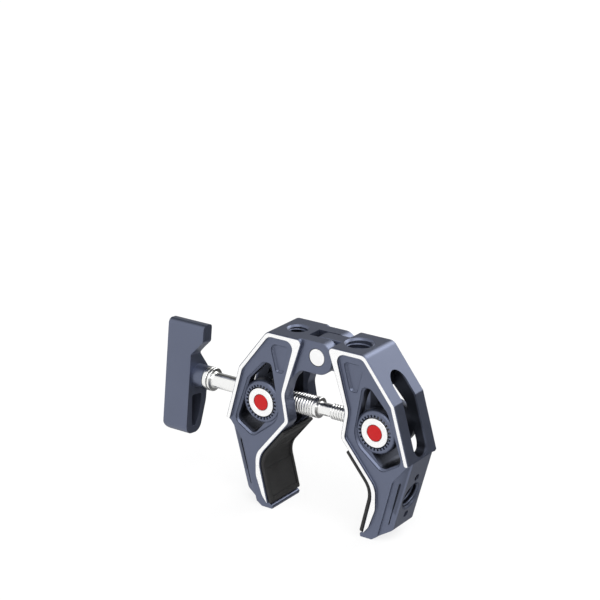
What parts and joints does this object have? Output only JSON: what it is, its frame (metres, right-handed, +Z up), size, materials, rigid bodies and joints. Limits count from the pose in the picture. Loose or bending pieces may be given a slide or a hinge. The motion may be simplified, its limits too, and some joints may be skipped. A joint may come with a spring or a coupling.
{
  "type": "crab clamp",
  "caption": "Small hinged crab-shaped super clamp with rubber-faced jaws, drawn together by a double-threaded spindle and a key handle.",
  "frame": {"origin": "middle of the hinge knuckle's flat top, halfway through the clamp's depth", "axes": "+X from the handle's jaw to the other jaw, along the spindle; +Z up, from the toes to the hinge; -Y the front"},
  "size_m": [0.0984, 0.017, 0.0612],
  "materials": {
    "navy_anodised": "satin navy anodised, with bright machined edges",
    "bright_ring": "bright satin",
    "turned_steel": "bright turned steel",
    "red_anodised": "satin red anodised",
    "rubber": "ribbed, matt"
  },
  "bodies": {
    "left_jaw": {"left_jaw": "navy_anodised", "left_pad": "rubber", "hinge_pin": "bright_ring", "left_front_ring": "bright_ring", "left_back_ring": "bright_ring", "left_front_cap": "red_anodised", "left_back_cap": "red_anodised"},
    "right_jaw": {"right_jaw": "navy_anodised", "right_pad": "rubber", "right_front_ring": "bright_ring", "right_back_ring": "bright_ring", "right_front_cap": "red_anodised", "right_back_cap": "red_anodised"},
    "left_nut": {"left_barrel_nut": "turned_steel"},
    "right_nut": {"right_barrel_nut": "turned_steel"},
    "washer": {"thrust_washer": "turned_steel"},
    "spindle": {"spindle": "turned_steel", "handle": "navy_anodised", "handle_screw": "turned_steel"}
  },
  "joints": [
    {"name": "jaw_hinge", "type": "hinge", "parent": "left_jaw", "child": "right_jaw", "pos_m": [0, 0, -0.00506], "axis": [0, 1, 0], "range_deg": [-34, 33]},
    {"name": "left_nut_turn", "type": "hinge", "parent": "left_jaw", "child": "left_nut", "pos_m": [-0.02157, 0, -0.0251], "axis": [0, 1, 0], "range_deg": [-17.02, 16.52]},
    {"name": "right_nut_turn", "type": "hinge", "parent": "right_jaw", "child": "right_nut", "pos_m": [0.02157, 0, -0.0251], "axis": [0, 1, 0], "range_deg": [-16.52, 17.02]},
    {"name": "spindle_travel", "type": "slide", "parent": "left_nut", "child": "washer", "axis": [1, 0, 0], "range_m": [-0.00578, 0.00595]},
    {"name": "handle_turn", "type": "hinge", "parent": "washer", "child": "spindle", "pos_m": [-0.0478, 0, -0.0251], "axis": [1, 0, 0], "range_deg": [-2142.7, 2079.68]}
  ],
  "couplings": [
    {"joint": "handle_turn", "follows": "jaw_hinge", "ratio": 62.958},
    {"joint": "left_nut_turn", "follows": "jaw_hinge", "ratio": 0.5},
    {"joint": "right_nut_turn", "follows": "jaw_hinge", "ratio": -0.5},
    {"joint": "spindle_travel", "follows": "jaw_hinge", "m_per_rad": -0.01002}
  ]
}
